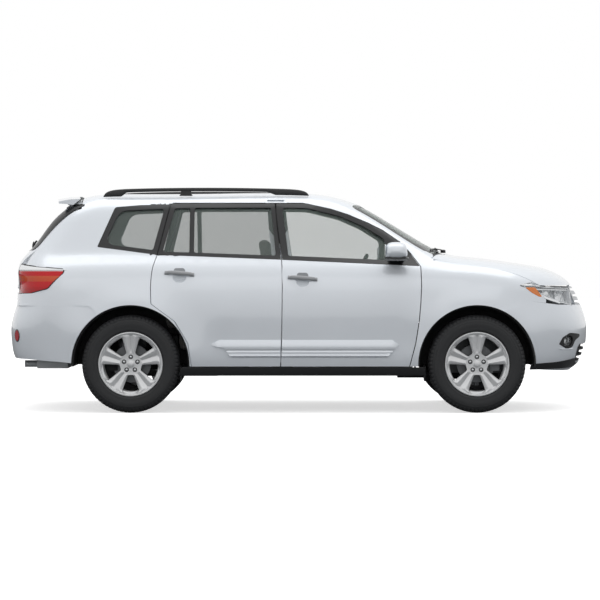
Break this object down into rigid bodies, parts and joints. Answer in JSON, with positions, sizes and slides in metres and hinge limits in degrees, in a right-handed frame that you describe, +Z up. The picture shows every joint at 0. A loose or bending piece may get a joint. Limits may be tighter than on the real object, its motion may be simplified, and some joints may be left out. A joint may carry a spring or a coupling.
{
  "type": "suv",
  "caption": "Five-door family suv with opening doors, hood and tailgate, steered front wheels and rolling wheels.",
  "frame": {"origin": "on the ground under the middle of the vehicle's length and width", "axes": "+X to the front, +Y to the vehicle's left, +Z up"},
  "size_m": [4.8085, 2.15, 1.8271],
  "materials": {
    "body_paint": "pale silver-white clear coat",
    "window_glass": "tinted, polished",
    "black_plastic": "grained",
    "satin_silver": "satin silver",
    "alloy": "painted silver",
    "tyre_rubber": "moulded",
    "bare_steel": "dull",
    "cast_metal": "as cast",
    "lamp_clear": "clear lens over chrome bowls",
    "lamp_red": "red lens with a clear upper band",
    "seat_cloth": "woven charcoal",
    "trim_plastic": "fine grain",
    "underbody": "black sealer"
  },
  "bodies": {
    "root": {"cowl": "black_plastic", "dashboard": "trim_plastic", "engine_block": "cast_metal", "exhaust": "bare_steel", "fenders": "body_paint", "floor_pan": "underbody", "front_bumper": "body_paint", "front_seats": "seat_cloth", "front_subframe": "underbody", "grille": "satin_silver", "headlamps": "lamp_clear", "quarter_glass": "window_glass", "rear_axle": "cast_metal", "rear_bench": "seat_cloth", "rear_bumper": "body_paint", "roof_panel": "body_paint", "roof_rails": "black_plastic", "side_frame_left": "body_paint", "side_frame_right": "body_paint", "steering_wheel": "trim_plastic", "tail_lamps": "lamp_red", "wheel_liners": "black_plastic", "windshield": "window_glass"},
    "knuckle_left": {"front_knuckle_left": "cast_metal"},
    "knuckle_right": {"front_knuckle_right": "cast_metal"},
    "wheel_fl": {"wheel_front_left": "alloy", "tyre_front_left": "tyre_rubber"},
    "wheel_fr": {"wheel_front_right": "alloy", "tyre_front_right": "tyre_rubber"},
    "wheel_rl": {"wheel_rear_left": "alloy", "tyre_rear_left": "tyre_rubber"},
    "wheel_rr": {"wheel_rear_right": "alloy", "tyre_rear_right": "tyre_rubber"},
    "door_fl": {"front_door_left": "body_paint", "front_door_glass_left": "window_glass", "mirror_left": "body_paint"},
    "door_fr": {"front_door_right": "body_paint", "front_door_glass_right": "window_glass", "mirror_right": "body_paint"},
    "door_rl": {"rear_door_left": "body_paint", "rear_door_glass_left": "window_glass"},
    "door_rr": {"rear_door_right": "body_paint", "rear_door_glass_right": "window_glass"},
    "bonnet": {"hood": "body_paint"},
    "liftgate": {"tailgate": "body_paint", "tailgate_glass": "window_glass"}
  },
  "joints": [
    {"name": "steer_left", "type": "hinge", "parent": "root", "child": "knuckle_left", "pos_m": [1.426, 0.735, 0.394], "axis": [0, 0, 1], "range_deg": [-32, 32]},
    {"name": "steer_right", "type": "hinge", "parent": "root", "child": "knuckle_right", "pos_m": [1.426, -0.735, 0.394], "axis": [0, 0, 1], "range_deg": [-32, 32]},
    {"name": "spin_fl", "type": "hinge", "parent": "knuckle_left", "child": "wheel_fl", "pos_m": [1.426, 0.805, 0.394], "axis": [0, 1, 0], "continuous": true},
    {"name": "spin_fr", "type": "hinge", "parent": "knuckle_right", "child": "wheel_fr", "pos_m": [1.426, -0.805, 0.394], "axis": [0, 1, 0], "continuous": true},
    {"name": "spin_rl", "type": "hinge", "parent": "root", "child": "wheel_rl", "pos_m": [-1.364, 0.805, 0.394], "axis": [0, 1, 0], "continuous": true},
    {"name": "spin_rr", "type": "hinge", "parent": "root", "child": "wheel_rr", "pos_m": [-1.364, -0.805, 0.394], "axis": [0, 1, 0], "continuous": true},
    {"name": "hinge_door_fl", "type": "hinge", "parent": "root", "child": "door_fl", "pos_m": [0.982, 0.945, 0.8], "axis": [0, 0, -1], "range_deg": [0, 68]},
    {"name": "hinge_door_fr", "type": "hinge", "parent": "root", "child": "door_fr", "pos_m": [0.982, -0.945, 0.8], "axis": [0, 0, 1], "range_deg": [0, 68]},
    {"name": "hinge_door_rl", "type": "hinge", "parent": "root", "child": "door_rl", "pos_m": [-0.132, 0.945, 0.8], "axis": [0, 0, -1], "range_deg": [0, 68]},
    {"name": "hinge_door_rr", "type": "hinge", "parent": "root", "child": "door_rr", "pos_m": [-0.132, -0.945, 0.8], "axis": [0, 0, 1], "range_deg": [0, 68]},
    {"name": "hinge_hood", "type": "hinge", "parent": "root", "child": "bonnet", "pos_m": [1.05, 0, 1.262], "axis": [0, -1, 0], "range_deg": [0, 50]},
    {"name": "hinge_tailgate", "type": "hinge", "parent": "root", "child": "liftgate", "pos_m": [-1.7865, 0, 1.757], "axis": [0, 1, 0], "range_deg": [0, 78]}
  ],
  "couplings": [
    {"joint": "steer_right", "follows": "steer_left", "ratio": 1}
  ]
}
